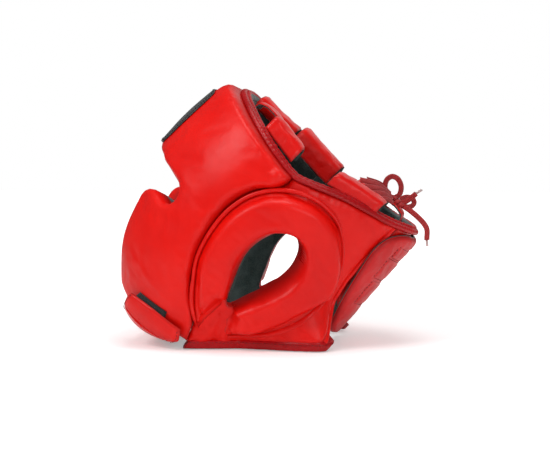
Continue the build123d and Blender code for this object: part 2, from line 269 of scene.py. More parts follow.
def thinned(groups):
    """Points of all groups, dropping those nearer than the group's gap to one kept before."""
    cells, kept, cell = {}, [], 4.0
    for points, gap in groups:
        for p in points:
            i, j = int(p[0] // cell), int(p[1] // cell)
            near = (q for u in (i - 1, i, i + 1) for v in (j - 1, j, j + 1)
                    for q in cells.get((u, v), ()))
            if all((p[0] - q[0]) ** 2 + (p[1] - q[1]) ** 2 > gap * gap for q in near):
                cells.setdefault((i, j), []).append(p)
                kept.append(p)
    return np.array(kept)


class Region:
    """Triangles over a region given by runs of (turn, z) points, each with a base and a radius."""

    def __init__(self, outer, holes=(), step=3.0):
        self.loops, a, b, values, run = [], [], [], [], []
        for runs in (outer, *holes):
            loop, info = [], []
            for points, base, radius in runs:
                flat = respaced(np.asarray(points, float) * (FLAT, 1), 2.2)[:-1]
                loop.append(flat)
                info.append(np.tile((base, radius), (len(flat), 1)))
            loop, info = np.vstack(loop), np.vstack(info)
            for _ in range(6):
                info = (np.roll(info, 1, 0) + info + np.roll(info, -1, 0)) / 3
            self.loops.append(loop)
            a.append(loop)
            b.append(np.roll(loop, -1, 0))
            values.append(info)
            run.append(np.concatenate(([0], np.cumsum(np.linalg.norm(b[-1] - a[-1], axis=1)))))
        self.a, self.b, self.values = np.vstack(a), np.vstack(b), np.vstack(values)
        self.next_value = np.vstack([np.roll(v, -1, 0) for v in values])
        self.arc = np.concatenate([r[:-1] for r in run])
        self._fill(step)

    def _fill(self, step):
        along = self.b - self.a
        normal = np.column_stack((-along[:, 1], along[:, 0]))
        normal /= np.linalg.norm(normal, axis=1)[:, None] + 1e-9
        middle = (self.a + self.b) / 2
        groups = []
        for depth, gap in ((0.5, 0.9), (1.3, 1.0), (2.6, 1.2), (4.4, 1.6), (6.8, 2.0), (9.6, 2.3)):
            ring = np.vstack((middle + normal * depth, middle - normal * depth))
            ring = ring[inside(ring, self.loops)]
            d, _, _ = nearest(ring, self.a, self.b)
            groups.append((ring[d > depth * 0.9], gap))
        lo, hi = self.a.min(0), self.a.max(0)
        rows = np.arange(lo[1], hi[1], step * 0.87)
        grid = [(x + (step / 2 if k % 2 else 0), y) for k, y in enumerate(rows)
                for x in np.arange(lo[0], hi[0], step)]
        grid = np.array(grid)
        grid = grid[inside(grid, self.loops)]
        d, _, _ = nearest(grid, self.a, self.b)
        groups.append((grid[d > step * 0.8], step * 0.8))
        points = np.vstack((self.a, thinned(groups)))
        edges, start = [], 0
        for loop in self.loops:
            n = len(loop)
            edges += [(start + i, start + (i + 1) % n) for i in range(n)]
            start += n
        verts, _, faces, _, _, _ = delaunay_2d_cdt([Vector(p) for p in points], edges, [], 0, 1e-4)
        flat = np.array([tuple(v) for v in verts])
        tris = np.array([f for f in faces if len(f) == 3])
        tris = tris[inside(flat[tris].mean(1), self.loops)]
        p, q, r = (flat[tris[:, k]] for k in range(3))
        area = (q[:, 0] - p[:, 0]) * (r[:, 1] - p[:, 1]) - (q[:, 1] - p[:, 1]) * (r[:, 0] - p[:, 0])
        tris[area < 0] = tris[area < 0][:, ::-1]
        used = np.unique(tris)
        index = np.full(len(flat), -1)
        index[used] = np.arange(len(used))
        self.flat, self.tris = flat[used], index[tris]
        self.turn, self.z = self.flat[:, 0] / FLAT, self.flat[:, 1]
        self.depth, near, share = nearest(self.flat, self.a, self.b)
        value = self.values[near] * (1 - share[:, None]) + self.next_value[near] * share[:, None]
        self.base, self.radius = value[:, 0], value[:, 1]
        self.along = self.arc[near] + share * np.linalg.norm(self.b - self.a, axis=1)[near]

    def dome(self, scale=1.0):
        """0 at the edge, rising round to 1 inside."""
        t = np.clip(self.depth / (self.radius * scale), 0, 1)
        return np.sqrt(1 - (1 - t) ** 2)

    def pinch(self, seed, size=4.5, reach=9.0):
        """Gathers that run in from the seam and fade out."""
        fade = np.exp(-self.depth / reach) * (1 - np.exp(-self.depth / 2.0))
        return wave(self.along, seed, size) * fade

    def border(self):
        """Directed edges on the border of the triangles."""
        seen = {}
        for t in self.tris:
            for i, j in ((t[0], t[1]), (t[1], t[2]), (t[2], t[0])):
                seen[(int(i), int(j))] = True
        return [(i, j) for i, j in seen if (j, i) not in seen]


# ---- meshes ------------------------------------------------------------------------------
def add_mesh(name, points, faces, materials, face_slot=None, seam=None, flow=None, mirrored=False):
    """A smooth-shaded mesh in the row frame."""
    points = np.array(points, float)
    faces = [tuple(int(i) for i in f) for f in faces]
    if mirrored:
        points[:, 0] *= -1
        faces = [f[::-1] for f in faces]
    mesh = bpy.data.meshes.new(name)
    mesh.from_pydata([tuple(p) for p in to_row(points)], [], faces)
    for m in materials:
        mesh.materials.append(m)
    if face_slot is not None:
        mesh.polygons.foreach_set("material_index", np.asarray(face_slot, np.int32))
    mesh.polygons.foreach_set("use_smooth", np.ones(len(faces), bool))
    mesh.set_sharp_from_angle(angle=radians(62))
    attribute = mesh.attributes.new("seam", "FLOAT", "POINT")
    values = np.full(len(points), 20.0) if seam is None else np.asarray(seam, float)
    attribute.data.foreach_set("value", values.astype(np.float32))
    attribute = mesh.attributes.new("flow", "FLOAT_VECTOR", "POINT")
    values = to_row(points) / MM if flow is None else np.asarray(flow, float)
    attribute.data.foreach_set("vector", values.astype(np.float32).ravel())
    mesh.update()
    obj = bpy.data.objects.new(name, mesh)
    bpy.context.scene.collection.objects.link(obj)
    return obj


def closed(name, region, top, bottom, material, **more):
    """A closed pad from a region, its outer points and its inner points."""
    n = len(region.flat)
    faces = [tuple(t) for t in region.tris] + [tuple(t[::-1] + n) for t in region.tris]
    faces += [(j, i, i + n, j + n) for i, j in region.border()]
    points = np.vstack((top, bottom))
    seam = np.concatenate((region.depth, region.depth * 0 + 20))
    return add_mesh(name, points, faces, [material], seam=seam, **more)


def unit(v):
    return v / (np.linalg.norm(v, axis=-1, keepdims=True) + 1e-12)


def sheet(name, grid, thick, outer, inner, soft=1.6, closed_end=True, **more):
    """A leather sheet over a grid of points, thickened to its inner side, with rounded edges."""
    g = np.asarray(grid, float)
    along, across = np.gradient(g, axis=0), np.gradient(g, axis=1)
    normal = unit(np.cross(across, along))
    rows, cols = g.shape[:2]
    s = np.concatenate((np.zeros((1, cols)), np.cumsum(np.linalg.norm(np.diff(g, axis=0), axis=2), 0)))
    w = np.concatenate((np.zeros((rows, 1)),
                        np.cumsum(np.linalg.norm(np.diff(g, axis=1), axis=2), 1)), axis=1)
    edge = np.minimum(w, w[:, -1:] - w)
    if closed_end:
        edge = np.minimum(edge, np.minimum(s, s[-1:] - s))
    rise = 1 - np.sqrt(1 - (1 - np.clip(edge / soft, 0, 1)) ** 2)
    top = g - normal * (rise * thick / 2)[..., None]
    under = g - normal * (thick - rise * thick / 2)[..., None]
    points = np.vstack((top.reshape(-1, 3), under.reshape(-1, 3)))
    n = rows * cols
    faces, slots = [], []
    for i in range(rows - 1):
        for j in range(cols - 1):
            a, b, c, d = (k for k in (i * cols + j, i * cols + j + 1, (i + 1) * cols + j + 1,
                                      (i + 1) * cols + j))
            faces += [(a, b, c, d), (d + n, c + n, b + n, a + n)]
            slots += [0, 1]
    loop = [j for j in range(cols)] + [i * cols + cols - 1 for i in range(1, rows)]
    loop += [(rows - 1) * cols + j for j in range(cols - 2, -1, -1)]
    loop += [i * cols for i in range(rows - 2, 0, -1)]
    for a, b in zip(loop, loop[1:] + loop[:1]):
        faces.append((b, a, a + n, b + n))
        slots.append(0)
    flow = np.stack((s, w, np.zeros_like(s)), -1).reshape(-1, 3)
    seam = np.concatenate((edge.ravel(), edge.ravel()))
    return add_mesh(name, points, faces, [outer, inner], slots, seam, np.vstack((flow, flow)), **more)


def sweep(name, profiles, materials, strip_slot=None, capped=True, **more):
    """A skin over closed profiles, one after another along a line."""
    p = np.asarray(profiles, float)
    rows, cols = p.shape[:2]
    faces, slots = [], []
    for i in range(rows - 1):
        for j in range(cols):
            k = (j + 1) % cols
            faces.append((i * cols + j, i * cols + k, (i + 1) * cols + k, (i + 1) * cols + j))
            slots.append(0 if strip_slot is None else strip_slot[j])
    if capped:
        faces += [tuple(range(cols - 1, -1, -1)), tuple((rows - 1) * cols + j for j in range(cols))]
        slots += [0, 0]
    return add_mesh(name, p.reshape(-1, 3), faces, materials, slots, **more)


def stitches(name, lines, material, spacing=3.6, length=2.3, radius=0.36, mirrored=False):
    """Rows of thread stitches: each line is a list of (point, outward normal)."""
    points, faces = [], []
    ring = [(cos(a), sin(a)) for a in np.linspace(0, 2 * pi, 6, endpoint=False)]
    for line, out in lines:
        line, out = np.asarray(line, float), np.asarray(out, float)
        run = np.concatenate(([0], np.cumsum(np.linalg.norm(np.diff(line, axis=0), axis=1))))
        for at in np.arange(spacing / 2, run[-1] - length / 2, spacing):
            ends = [np.array([np.interp(at + h, run, line[:, k]) for k in range(3)])
                    for h in (-length / 2, length / 2)]
            up = unit(np.array([np.interp(at, run, out[:, k]) for k in range(3)]))
            along = unit(ends[1] - ends[0])
            side = unit(np.cross(along, up))
            start = len(points)
            for share, size, lift in ((0, 0.45, -0.25), (0.25, 1, 0.12), (0.75, 1, 0.12), (1, 0.45, -0.25)):
                c = ends[0] + (ends[1] - ends[0]) * share + up * lift
                points += [c + radius * size * (side * u + up * v) for u, v in ring]
            for r in range(3):
                for k in range(6):
                    a, b = start + r * 6 + k, start + r * 6 + (k + 1) % 6
                    faces.append((a, b, b + 6, a + 6))
            faces += [tuple(start + k for k in range(5, -1, -1)), tuple(start + 18 + k for k in range(6))]
    return add_mesh(name, points, faces, [material], mirrored=mirrored)


def puffed(obj, hold, pressure=2.5, grow=0.012, limit=2.6, frames=14):
    """Cloth simulation of a pad: held where hold is 1, it fills out and gathers at its seams."""
    group = obj.vertex_groups.new(name="hold")
    levels = np.round(np.clip(hold, 0, 1) * 10).astype(int)
    for level in range(1, 11):
        group.add([int(i) for i in np.flatnonzero(levels == level)], level / 10, "REPLACE")
    cloth = obj.modifiers.new("puff", "CLOTH")
    fabric = cloth.settings
    fabric.quality = 5
    fabric.mass = 0.25
    fabric.tension_stiffness = fabric.compression_stiffness = 14
    fabric.shear_stiffness = 8
    fabric.bending_stiffness = 0.8
    fabric.use_pressure = True
    fabric.uniform_pressure_force = pressure
    fabric.shrink_min = -grow
    fabric.effector_weights.gravity = 0
    fabric.vertex_group_mass = "hold"
    cloth.collision_settings.use_collision = False
    cloth.point_cache.frame_start, cloth.point_cache.frame_end = 1, frames
    scene = bpy.context.scene
    for frame_number in range(1, frames + 1):
        scene.frame_set(frame_number)
    evaluated = obj.evaluated_get(bpy.context.evaluated_depsgraph_get())
    after = np.array([v.co for v in evaluated.data.vertices], float)
    obj.modifiers.remove(cloth)
    scene.frame_set(1)
    before = np.array([v.co for v in obj.data.vertices], float)
    move = after - before
    length = np.linalg.norm(move, axis=1)[:, None] / MM
    move *= limit * np.tanh(length / limit) / np.maximum(length, 1e-9)
    obj.data.vertices.foreach_set("co", (before + move).astype(np.float32).ravel())
    obj.vertex_groups.clear()
    obj.data.update()


def seam_hold(region, reach=3.0):
    """1 at the seams and over the whole inner side, falling to 0 on the outer side."""
    outer = 1 - smooth(region.depth / reach)
    return np.concatenate((outer, np.ones(len(region.depth))))


# ---- materials ---------------------------------------------------------------------------
class Graph:
    """A small builder of shader nodes."""

    def __init__(self, name):
        self.material = bpy.data.materials.new(name)
        self.material.use_nodes = True
        self.tree = self.material.node_tree
        self.shader = self.tree.nodes["Principled BSDF"]
        self.place = self.add("ShaderNodeTexCoord").outputs["Object"]

    def add(self, kind, links=None, **values):
        node = self.tree.nodes.new(kind)
        for key, value in values.items():
            setattr(node, key, value)
        for key, value in (links or {}).items():
            if isinstance(value, bpy.types.NodeSocket):
                self.tree.links.new(value, node.inputs[key])
            else:
                node.inputs[key].default_value = value
        return node

    def noise(self, scale, detail=3.0, rough=0.5, distortion=0.0, vector=None):
        return self.add("ShaderNodeTexNoise", {"Vector": vector or self.place, "Scale": scale,
                        "Detail": detail, "Roughness": rough, "Distortion": distortion}).outputs["Fac"]

    def cells(self, scale, feature="F1"):
        return self.add("ShaderNodeTexVoronoi", {"Vector": self.place, "Scale": scale},
                        feature=feature).outputs["Distance"]

    def ranged(self, value, low, high, to_low, to_high):
        return self.add("ShaderNodeMapRange", {"Value": value, "From Min": low, "From Max": high,
                        "To Min": to_low, "To Max": to_high}).outputs["Result"]

    def sum(self, a, b, how="ADD"):
        return self.add("ShaderNodeMath", {0: a, 1: b}, operation=how).outputs[0]

    def mix(self, share, a, b, how="MIX"):
        node = self.add("ShaderNodeMix", {"Factor": share}, data_type="RGBA", blend_type=how)
        for k, value in ((6, a), (7, b)):
            if isinstance(value, bpy.types.NodeSocket):
                self.tree.links.new(value, node.inputs[k])
            else:
                node.inputs[k].default_value = value
        return node.outputs[2]

    def attribute(self, name, output="Fac"):
        return self.add("ShaderNodeAttribute", attribute_name=name).outputs[output]

    def bump(self, height, strength, distance, after=None):
        links = {"Height": height, "Strength": strength, "Distance": distance}
        if after is not None:
            links["Normal"] = after
        return self.add("ShaderNodeBump", links).outputs["Normal"]

    def out(self, **sockets):
        for key, value in sockets.items():
            socket = self.shader.inputs[key.replace("_", " ")]
            if isinstance(value, bpy.types.NodeSocket):
                self.tree.links.new(value, socket)
            else:
                socket.default_value = value
        return self.material


def leather(name, base, deep, rough, crease=0.25, coat=0.04):
    """Smooth finished leather: pebble grain, soft creases, darker seams, paler worn edges."""
    g = Graph(name)
    patches = g.noise(16, 4, 0.55)
    colour = g.mix(g.ranged(patches, 0.35, 0.68, 0, 1), deep, base)
    seams = g.ranged(g.attribute("seam"), 0.0, 2.6, 0.62, 1.0)
    seams = g.add("ShaderNodeCombineColor", {0: seams, 1: seams, 2: seams}).outputs[0]
    colour = g.mix(1.0, colour, seams, "MULTIPLY")
    point = g.add("ShaderNodeNewGeometry").outputs["Pointiness"]
    worn = g.sum(g.ranged(point, 0.53, 0.62, 0, 0.32), g.noise(60, 3), "MULTIPLY")
    pale = tuple(min(1.0, c * 1.15 + 0.035) for c in base[:3]) + (1,)
    colour = g.mix(worn, colour, pale)
    pebbles = g.sum(g.cells(950, "SMOOTH_F1"), g.noise(1700, 2), "ADD")
    folds = g.noise(95, 6, 0.62, 0.9)
    normal = g.bump(folds, crease, 0.0009)
    normal = g.bump(pebbles, 0.10, 0.0003, normal)
    gloss = g.ranged(g.noise(45, 4), 0.3, 0.7, rough - 0.05, rough + 0.07)
    return g.out(Base_Color=colour, Roughness=gloss, Normal=normal, Coat_Weight=coat,
                 Coat_Roughness=0.22, Specular_IOR_Level=0.26)


def suede(name, base, pale):
    """Brushed lining with a nap."""
    g = Graph(name)
    colour = g.mix(g.ranged(g.noise(38, 6, 0.65), 0.35, 0.7, 0, 1), base, pale)
    colour = g.mix(g.ranged(g.noise(900, 2), 0.4, 0.6, 0, 0.35), colour, pale)
    normal = g.bump(g.noise(120, 5, 0.6, 0.6), 0.35, 0.0012)
    normal = g.bump(g.noise(2200, 3, 0.7), 0.35, 0.0004, normal)
    return g.out(Base_Color=colour, Roughness=0.88, Normal=normal, Sheen_Weight=0.35,
                 Sheen_Roughness=0.5, Specular_IOR_Level=0.25)


def hook_tape(name, base, pale, scale):
    """Hook or loop tape: a dense pile."""
    g = Graph(name)
    pile = g.cells(scale)
    colour = g.mix(g.ranged(pile, 0.1, 0.8, 0, 1), base, pale)
    normal = g.bump(pile, 0.8, 0.0007)
    normal = g.bump(g.noise(3000, 2), 0.4, 0.0003, normal)
    return g.out(Base_Color=colour, Roughness=0.82, Normal=normal, Sheen_Weight=0.25,
                 Specular_IOR_Level=0.3)


def woven(name, base, deep):
    """Flat braided lace: two crossed ribs along its own direction."""
    g = Graph(name)
    flow = g.attribute("flow", "Vector")
    ribs = []
    for turn in (42, -42):
        mapped = g.add("ShaderNodeMapping", {"Vector": flow, "Rotation": (0, 0, radians(turn))})
        ribs.append(g.add("ShaderNodeTexWave", {"Vector": mapped.outputs[0], "Scale": 0.32,
                    "Distortion": 0.4}).outputs["Fac"])
    weave = g.sum(ribs[0], ribs[1], "MULTIPLY")
    colour = g.mix(g.ranged(weave, 0.0, 0.7, 0, 1), deep, base)
    colour = g.mix(g.ranged(g.noise(70, 3), 0.4, 0.7, 0, 0.5), colour, deep)
    normal = g.bump(weave, 0.6, 0.0006)
    return g.out(Base_Color=colour, Roughness=0.62, Normal=normal, Sheen_Weight=0.2)


def thread(name, base):
    """Sewing thread with a fine twist."""
    g = Graph(name)
    deep = tuple(c * 0.6 for c in base[:3]) + (1,)
    colour = g.mix(g.ranged(g.noise(300, 3), 0.35, 0.7, 0, 0.6), base, deep)
    normal = g.bump(g.noise(2600, 2), 0.5, 0.0003)
    return g.out(Base_Color=colour, Roughness=0.55, Normal=normal)


def aglet(name):
    """Clear lace tip over the lace."""
    g = Graph(name)
    colour = g.mix(g.ranged(g.noise(500, 2), 0.4, 0.7, 0, 1), (0.75, 0.5, 0.48, 1), (0.86, 0.8, 0.78, 1))
    normal = g.bump(g.noise(420, 3), 0.25, 0.0004)
    return g.out(Base_Color=colour, Roughness=0.18, Normal=normal, Coat_Weight=0.6,
                 Transmission_Weight=0.35)


RED = leather("red_leather", (0.87, 0.005, 0.0012, 1), (0.76, 0.0025, 0.0006, 1), 0.37)
SOFT_RED = leather("red_leather_creased", (0.83, 0.006, 0.003, 1), (0.66, 0.003, 0.002, 1), 0.31, 0.5)
FLAP_RED = leather("red_leather_printed", (0.70, 0.020, 0.022, 1), (0.56, 0.008, 0.009, 1), 0.36, 0.4)
CRIMSON = leather("binding_leather", (0.52, 0.005, 0.009, 1), (0.34, 0.002, 0.004, 1), 0.30, 0.6, 0.08)
SUEDE = suede("lining_suede", (0.016, 0.034, 0.030, 1), (0.10, 0.135, 0.13, 1))
LOOP = hook_tape("loop_tape", (0.004, 0.004, 0.004, 1), (0.022, 0.022, 0.021, 1), 1500)
HOOK = hook_tape("hook_tape", (0.006, 0.006, 0.006, 1), (0.03, 0.03, 0.03, 1), 900)
LACE = woven("lace", (0.62, 0.012, 0.012, 1), (0.34, 0.004, 0.006, 1))
THREAD = thread("thread_red", (0.30, 0.004, 0.006, 1))
BLACK_THREAD = thread("thread_black", (0.012, 0.012, 0.012, 1))
TIP = aglet("lace_tip")


# ---- padded pieces -----------------------------------------------------------------------
def placed(obj, body, slot, *nodes):
    """Sets what a piece rides on and hides the nodes it stands for. Its slot is not used."""
    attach(obj, body)
    if nodes:
        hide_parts(*nodes)
    return obj


def x_turn(x, z, off, form):
    """Turn on the face side where a grown form reaches X at a height."""
    return degrees(asin(x / (float(form.half(z)) + off)))


def arc(turn, z, radius, start, end, count=7):
    """Points of an arc on the unrolled face, angles in degrees from the rear, as (turn, z)."""
    a = np.radians(np.linspace(start, end, count))
    return np.column_stack((turn + radius * np.cos(a) / FLAT, z + radius * np.sin(a)))


def eye_edge():
    """Brow line, round notch and rounded cheek top, as (turn, z) points from the brow down."""
    notch = arc(NOTCH_TURN, NOTCH_Z, NOTCH_RADIUS, 80, -80)
    cheek = arc(CHEEK_TURN, CHEEK_Z, CHEEK_RADIUS, 85, 175, 6)
    corners = np.vstack(([(30, BROW_Z), (40, BROW_Z)], notch, cheek))
    return curve(corners * (FLAT, 1), 1.6) / (FLAT, 1)


def face_runs(inset=0.0):
    """Outline of forehead, temples and cheeks as runs of (turn, z) points."""
    seam = unrolled([(y - inset, z) for y, z in FACE_REAR], PANEL)
    seam = curve(seam * (FLAT, 1)) / (FLAT, 1)
    seam[-1, 1] = rim_z(seam[-1:, 0])[0] - 1.0
    seam_low, seam_top = seam[0], seam[-1]
    eye = eye_edge()
    foot_turn = x_turn(41, CHEEK_FOOT, 0, FACE)
    chin_turn = turn_at(CHEEK_BACK, CHEEK_FOOT, 0, FACE)
    front = curve([tuple(eye[-1]), (x_turn(44.5, -70, 0, FACE), -70),
                   (x_turn(42.5, -100, 0, FACE), -100), (foot_turn, CHEEK_FOOT + 6),
                   (foot_turn + 4, CHEEK_FOOT)])
    foot = np.array([(foot_turn + 4, CHEEK_FOOT), (chin_turn, CHEEK_FOOT)])
    corner = curve([(chin_turn, CHEEK_FOOT), (chin_turn + 10, -117), tuple(seam_low)])
    top = rim_run(-seam_top[0], seam_top[0], 120)
    top[0], top[-1] = (-seam_top[0], seam_top[1]), seam_top
    left = [(seam[::-1], 17.5, 5), (corner[::-1], 9.0, 7), (foot[::-1], 3.0, 8),
            (front[::-1], 2.5, 10), (eye[::-1], 3.0, 8)]
    brow = np.array([(eye[0, 0], BROW_Z), (-eye[0, 0], BROW_Z)])
    right = [(np.asarray(p)[::-1] * (-1, 1), b, r) for p, b, r in reversed(left)]
    return [(top, 15.5, 4.5)] + left + [(brow, 3.0, 11)] + right


def face_pad():
    """One leather cover over forehead, temples and cheeks."""
    region = Region(face_runs(), step=3.2)
    low, high = HEAD.point(region.turn, region.z, 0), FACE.point(region.turn, region.z, 0)
    full = np.linalg.norm(high - low, axis=1)
    level = region.base / full + (1 - region.base / full) * region.dome()
    top = low + (high - low) * level[:, None]
    out = unit(top * (1, 1, 0.2))
    ripple = 0.55 * region.pinch(1) + 0.35 * clouds(top, 2, 34) * (1 - np.exp(-region.depth / 8))
    side = np.abs(top[:, 0]) / 90
    temple = np.exp(-(((top[:, 1] + 42) / 34) ** 2 + ((top[:, 2] + 18) / 26) ** 2)) * side
    drawn = np.sin((top[:, 1] * 0.9 + top[:, 2] * 0.75) / 2.6 + 0.9 * clouds(top, 5, 24))
    ripple += 0.16 * temple * drawn
    patched = smooth((44 - np.abs(top[:, 0])) / 6) * smooth((top[:, 2] - 2) / 6)
    cheek = smooth((-86 - top[:, 2]) / 6) * (top[:, 0] > 0)
    ripple *= 1 - np.maximum(patched, cheek)
    lobe = np.exp(-(((top[:, 1] + 10) / 5.4) ** 2 + ((top[:, 2] - 74) / 6.8) ** 2) ** 3)
    ripple += 2.4 * lobe * smooth(region.depth / 2.5)
    top = top + out * ripple[:, None]
    bottom = HEAD.point(region.turn, region.z, LINING + 0.2)
    obj = closed("face_pad", region, top, bottom, RED)
    under = (np.abs(top[:, 0]) < 43) & (top[:, 2] > 6) & (top[:, 2] < 86)
    under |= (top[:, 0] > 60) & (top[:, 1] > -42) & (top[:, 2] < -88)
    hold = np.maximum(seam_hold(region), np.concatenate((under, under)).astype(float))
    obj.data.materials.append(SUEDE)
    inner = set(np.nonzero((level < 0.42) & (region.base < 5))[0])
    for face in obj.data.polygons:
        face.material_index = int(inner.issuperset(face.vertices))
    puffed(obj, hold, 1.6, 0.008, 1.6)
    placed(obj, "shell", "red_leather", "face_cover", "forehead_foam", "left_cheek_foam", "right_cheek_foam")
    sheet_in = HEAD.point(region.turn, region.z, -0.7 * region.dome() + 0.5 * clouds(bottom, 3, 22))
    sheet_out = HEAD.point(region.turn, region.z, LINING)
    lining = closed("face_lining_sheet", region, sheet_out, sheet_in, SUEDE)
    placed(lining, "shell", "lining", "face_lining")


def panel_runs():
    """Outline of the left side panel."""
    seam = unrolled([(y + 0.5, z) for y, z in FACE_REAR], PANEL)
    seam = curve(seam * (FLAT, 1)) / (FLAT, 1)
    seam[-1, 1] = rim_z(seam[-1:, 0])[0] - 0.6
    rear = unrolled(PANEL_REAR, PANEL)
    rear = curve(rear * (FLAT, 1)) / (FLAT, 1)
    y_foot = np.linspace(127.0, 33.0, 30)
    foot = unrolled(np.column_stack((y_foot, hem_z(y_foot, HEM_HEIGHT - 2.0))), PANEL)
    rear[0, 1] = rim_z(rear[:1, 0])[0] - 0.6
    top = rim_run(seam[-1, 0], rear[0, 0])
    top[0], top[-1] = seam[-1], rear[0]
    top[:, 1] -= 0.6 * np.sin(np.linspace(0, pi, len(top)))
    drop = curve([rear[-1], foot[0]])
    tail = curve([foot[-1], seam[0]])
    return [(seam, 10.0, 6), (top, 11.5, 4), (rear, 10.0, 5), (drop, 10.0, 5), (foot, 12.2, 4),
            (tail, 10.0, 6)]


def grown(points, out):
    """A ring of points moved away from its middle by a fixed distance."""
    p = np.asarray(points, float)
    return p + out * unit(p - p.mean(0))


def loop_curve(points):
    """A closed smooth line, its end joined to its start."""
    p = np.asarray(points, float)
    wrapped = np.vstack((p[-2:], p, p[:3]))
    line = curve(wrapped, 1.0)
    start = np.linalg.norm(line - p[0], axis=1)[: len(line) // 2].argmin()
    end = len(line) - 1 - np.linalg.norm(line[::-1] - p[0], axis=1)[: len(line) // 2].argmin()
    line = line[start:end + 1]
    line[0] = line[-1] = p[0]
    return respaced(line, 2.0)


def hole_run(out, off):
    """The ear opening as one run of (turn, z) points, grown except at its lower tip."""
    p = np.array(EAR_HOLE, float)
    share = smooth((p[:, 1] + 51) / 40)[:, None]
    return unrolled(loop_curve(p * (1 - share) + grown(p, out) * share), off)


def side_panels():
    """Side panels, their linings and the wrinkled corner under the ear."""
    region = Region(panel_runs(), [[(hole_run(8, PANEL), PANEL, 1)]], step=3.0)
    off = region.base + (PANEL - region.base) * region.dome()
    flat = FLARED.point(region.turn, region.z, PANEL)
    off += 0.5 * region.pinch(4, 4.2, 7) + 0.35 * clouds(flat, 6, 26) * smooth(region.depth / 6)
    y, z = flat[:, 1], flat[:, 2]
    around = np.degrees(np.arctan2(-(z + 49), y - 37.5))
    away = np.hypot(y - 37.5, z + 49)
    wedge = smooth((around - 38) / 20) * smooth((118 - around) / 20) * smooth((62 - away) / 20)
    off += wedge * (1.3 * np.sin(around / 4.0) * smooth(away / 10) + 1.3 * clouds(flat, 8, 7))
    near_rim = np.exp(-((rim_z(region.turn) - z - 4.5) / 3.0) ** 2) * smooth((y - 0) / 12)
    off += 0.9 * near_rim * np.maximum(0, np.sin(y / 4.4 + 1.4 * clouds(flat, 9, 20))) ** 2
    top = FLARED.point(region.turn, region.z, off)
    bottom = FLARED.point(region.turn, region.z, LINING + 0.2)
    inner = Region(panel_runs(), [[(hole_run(0.6, LINING), LINING, 1)]], step=3.2)
    flat = FLARED.point(inner.turn, inner.z, 0)
    wavy = -0.8 * inner.dome(1.5) + 0.9 * clouds(flat, 11, 24) + 0.35 * clouds(flat, 12, 9)
    seam_line = np.exp(-((flat[:, 1] - 12 - 0.1 * flat[:, 2]) / 1.6) ** 2)
    wavy += 0.9 * seam_line
    low, high = FLARED.point(inner.turn, inner.z, wavy), FLARED.point(inner.turn, inner.z, LINING)
    for side, mirrored in (("left", False), ("right", True)):
        obj = closed(side + "_side_pad", region, top, bottom, RED, mirrored=mirrored)
        puffed(obj, seam_hold(region), 1.5, 0.01, 1.5)
        placed(obj, "shell", "red_leather", side + "_side_cover", side + "_side_foam")
        obj = closed(side + "_lining_sheet", inner, high, low, SUEDE, mirrored=mirrored)
        placed(obj, "shell", "lining", side + "_side_lining")


def ring_runs():
    """The C-shaped ear pad: round the outside, along both arm ends and round the opening."""
    outside = unrolled(curve(EAR_RING, 2.0), PANEL)
    turning = int(np.argmax(outside[:, 1] > 70))
    front_side, rear_side = outside[:turning + 1], outside[turning:]
    hole = loop_curve(EAR_HOLE)
    hole = unrolled(hole[2:-2], PANEL)
    front_end = curve([tuple(hole[1]), (hole[1, 0] - 1.2, -66), tuple(outside[0])])
    rear_end = curve([tuple(outside[-1]), (turn_at(46.5, -66, PANEL), -66), tuple(hole[-1])])
    return [(front_side, PANEL + 5.5, 7), (rear_side, PANEL + 0.4, 8), (rear_end, PANEL + 0.4, 8),
            (hole[1:][::-1], 1.2, 6), (front_end, PANEL + 0.4, 8)]


def ear_pads():
    """Raised pads round the ears, their leather rolled into the opening."""
    region = Region(ring_runs(), step=2.6)
    bead = 4.2
    pad = np.clip(region.depth - bead * smooth((region.base - 6) / 6), 0, None)
    round_in = np.clip(pad / region.radius, 0, 1)
    dome = np.sqrt(1 - (1 - round_in) ** 2)
    off = region.base + (EAR_TOP - region.base) * dome
    piping = (region.base > 8) * 1.7 * np.sin(pi * np.clip(region.depth / bead, 0, 1))
    off += piping
    flat = FLARED.point(region.turn, region.z, EAR_TOP)
    y, z = flat[:, 1], flat[:, 2]
    hole_dist = np.abs(np.where(region.base < 8, region.depth, 40))
    rear = smooth((y - 46) / 12) * smooth((30 - z) / 20)
    spokes = np.maximum(0, np.sin(region.along / 1.15 + 2 * wave(region.along, 3, 9)))
    off += -0.55 * spokes * np.exp(-((hole_dist - 10) / 8) ** 2) * (0.25 + 0.75 * rear)
    off += 0.45 * region.pinch(14, 4.5, 8) + 0.5 * clouds(flat, 15, 30) * smooth(pad / 8)
    top = FLARED.point(region.turn, region.z, off)
    inwards = smooth((hole_dist - 3) / 9)
    deep = LINING + 0.5 + (PANEL - LINING - 0.2) * inwards
    bottom = FLARED.point(region.turn, region.z, np.minimum(deep, off - 0.3))
    for side, mirrored in (("left", False), ("right", True)):
        obj = closed(side + "_ear_pad", region, top, bottom, RED, mirrored=mirrored)
        puffed(obj, seam_hold(region))
        placed(obj, "shell", "red_leather", side + "_ear_pad_cover", side + "_ear_pad_foam",
               side + "_ear_hole_binding")


